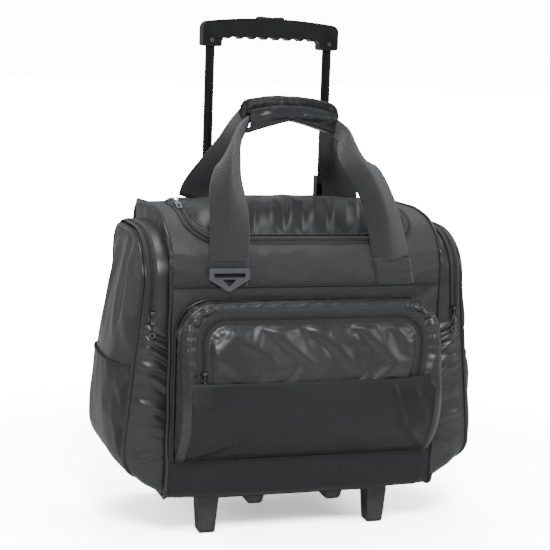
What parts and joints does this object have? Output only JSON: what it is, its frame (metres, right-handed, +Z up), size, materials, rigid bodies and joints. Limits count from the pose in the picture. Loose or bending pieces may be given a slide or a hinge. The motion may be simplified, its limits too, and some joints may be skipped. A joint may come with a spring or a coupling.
{
  "type": "rolling flight case",
  "caption": "Soft-sided rolling flight case with zipped front and side pockets, wrapped carry handles, a hinged lid, a telescopic pull handle, rear wheels and front feet.",
  "frame": {"origin": "middle of the footprint, at floor level, under the centre of the object's box", "axes": "+X to the right seen from the front, +Y from the front pocket to the wheels, +Z up"},
  "size_m": [0.494, 0.2892, 0.671],
  "materials": {
    "body_twill": "matte coated polyester twill",
    "pocket_satin": "satin coated nylon",
    "lid_cloth": "satin coated nylon",
    "lining": "plain woven lining over board",
    "webbing": "woven nylon webbing",
    "wrap_cloth": "padded satin nylon",
    "piping": "smooth vinyl piping",
    "zip_tape": "woven zip tape",
    "slider_metal": "dark nickel",
    "lid_slider_metal": "bright nickel",
    "ring_plastic": "moulded acetal",
    "hard_plastic": "moulded, fine grain",
    "grip_plastic": "moulded, soft sheen",
    "tube_black": "gloss black paint",
    "steel": "zinc plated",
    "tyre_rubber": "solid rubber",
    "hub_plastic": "moulded"
  },
  "bodies": {
    "case": {"left_side_panel": "body_twill", "right_side_panel": "body_twill", "front_panel": "body_twill", "back_panel": "body_twill", "bottom_board": "body_twill", "top_panel": "body_twill", "divider_board": "lining", "body_piping": "piping", "front_pocket": "pocket_satin", "front_pocket_piping": "piping", "front_pocket_zip": "zip_tape", "front_slip_pocket": "body_twill", "left_pocket": "pocket_satin", "right_pocket": "pocket_satin", "side_pocket_piping": "piping", "left_pocket_zip": "zip_tape", "right_pocket_zip": "zip_tape", "lid_zip": "zip_tape", "base_plate": "hard_plastic", "left_foot": "hard_plastic", "right_foot": "hard_plastic", "skid_rails": "hard_plastic", "left_wheel_housing": "hard_plastic", "right_wheel_housing": "hard_plastic", "wheel_axles": "steel", "left_outer_tube": "tube_black", "right_outer_tube": "tube_black", "tube_bezel": "hard_plastic", "tube_bracket": "hard_plastic", "base_screws": "steel", "webbing_tabs": "webbing", "front_webbing": "webbing", "rear_webbing": "webbing", "ring_loops": "webbing", "lid_sliders": "lid_slider_metal"},
    "left_wheel": {"left_tyre": "tyre_rubber", "left_hub": "hub_plastic"},
    "right_wheel": {"right_tyre": "tyre_rubber", "right_hub": "hub_plastic"},
    "lower_stage": {"left_middle_tube": "tube_black", "right_middle_tube": "tube_black", "middle_collars": "hard_plastic"},
    "upper_stage": {"left_inner_tube": "tube_black", "right_inner_tube": "tube_black", "pull_grip": "grip_plastic", "grip_screws": "steel"},
    "release": {"release_button": "grip_plastic", "push_rods": "steel"},
    "carry_grip": {"grip_wrap": "wrap_cloth"},
    "lid": {"lid_panel": "lid_cloth"},
    "lid_pull_front": {"lid_pull_front": "lid_slider_metal"},
    "lid_pull_rear": {"lid_pull_rear": "lid_slider_metal"},
    "front_slider": {"front_slider": "slider_metal"},
    "front_pull": {"front_pull": "slider_metal"},
    "left_slider": {"left_slider": "slider_metal"},
    "left_pull": {"left_pull": "slider_metal"},
    "right_slider": {"right_slider": "slider_metal"},
    "right_pull": {"right_pull": "slider_metal"},
    "front_ring": {"front_ring": "ring_plastic"},
    "rear_ring": {"rear_ring": "ring_plastic"}
  },
  "joints": [
    {"name": "left_wheel_spin", "type": "hinge", "parent": "case", "child": "left_wheel", "pos_m": [-0.117, 0.1176, 0.027], "axis": [1, 0, 0], "continuous": true},
    {"name": "right_wheel_spin", "type": "hinge", "parent": "case", "child": "right_wheel", "pos_m": [0.117, 0.1176, 0.027], "axis": [1, 0, 0], "continuous": true},
    {"name": "lower_stage_slide", "type": "slide", "parent": "case", "child": "lower_stage", "axis": [0, 0, 1], "range_m": [-0.028, 0.25]},
    {"name": "upper_stage_slide", "type": "slide", "parent": "lower_stage", "child": "upper_stage", "axis": [0, 0, 1], "range_m": [-0.174, 0.11]},
    {"name": "release_press", "type": "slide", "parent": "upper_stage", "child": "release", "axis": [0, 0, -1], "range_m": [0, 0.004], "stiffness_N_per_m": 1500, "springref_m": -0.003},
    {"name": "carry_grip_drop", "type": "slide", "parent": "case", "child": "carry_grip", "axis": [0, 0, 1], "range_m": [-0.07, 0], "deforming": ["front_webbing", "rear_webbing"]},
    {"name": "lid_open", "type": "hinge", "parent": "case", "child": "lid", "pos_m": [0, 0.0711, 0.42], "axis": [-1, 0, 0], "range_deg": [0, 45]},
    {"name": "lid_pull_front_swing", "type": "hinge", "parent": "case", "child": "lid_pull_front", "pos_m": [-0.1516, 0.007, 0.4275], "axis": [-1, 0, 0], "range_deg": [0, 110]},
    {"name": "lid_pull_rear_swing", "type": "hinge", "parent": "case", "child": "lid_pull_rear", "pos_m": [-0.1516, 0.0322, 0.4275], "axis": [1, 0, 0], "range_deg": [0, 110]},
    {"name": "front_slider_run", "type": "slide", "parent": "case", "child": "front_slider", "axis": [0, 0.1752, 0.9845], "range_m": [0, 0.035]},
    {"name": "front_pull_swing", "type": "hinge", "parent": "front_slider", "child": "front_pull", "pos_m": [-0.145, -0.13998, 0.2296], "axis": [-1, 0, 0], "range_deg": [0, 100]},
    {"name": "left_slider_run", "type": "slide", "parent": "case", "child": "left_slider", "axis": [0, 0, 1], "range_m": [0, 0.033]},
    {"name": "left_pull_swing", "type": "hinge", "parent": "left_slider", "child": "left_pull", "pos_m": [-0.2025, -0.0975, 0.2986], "axis": [-1, 0, 0], "range_deg": [0, 100]},
    {"name": "right_slider_run", "type": "slide", "parent": "case", "child": "right_slider", "axis": [0, 0, 1], "range_m": [0, 0.033]},
    {"name": "right_pull_swing", "type": "hinge", "parent": "right_slider", "child": "right_pull", "pos_m": [0.2025, -0.0975, 0.2986], "axis": [-1, 0, 0], "range_deg": [0, 100]},
    {"name": "front_ring_swing", "type": "hinge", "parent": "case", "child": "front_ring", "pos_m": [-0.108, -0.1015, 0.352], "axis": [-1, 0, 0], "range_deg": [0, 55]},
    {"name": "rear_ring_swing", "type": "hinge", "parent": "case", "child": "rear_ring", "pos_m": [0.104, 0.1347, 0.352], "axis": [1, 0, 0], "range_deg": [0, 55]}
  ]
}
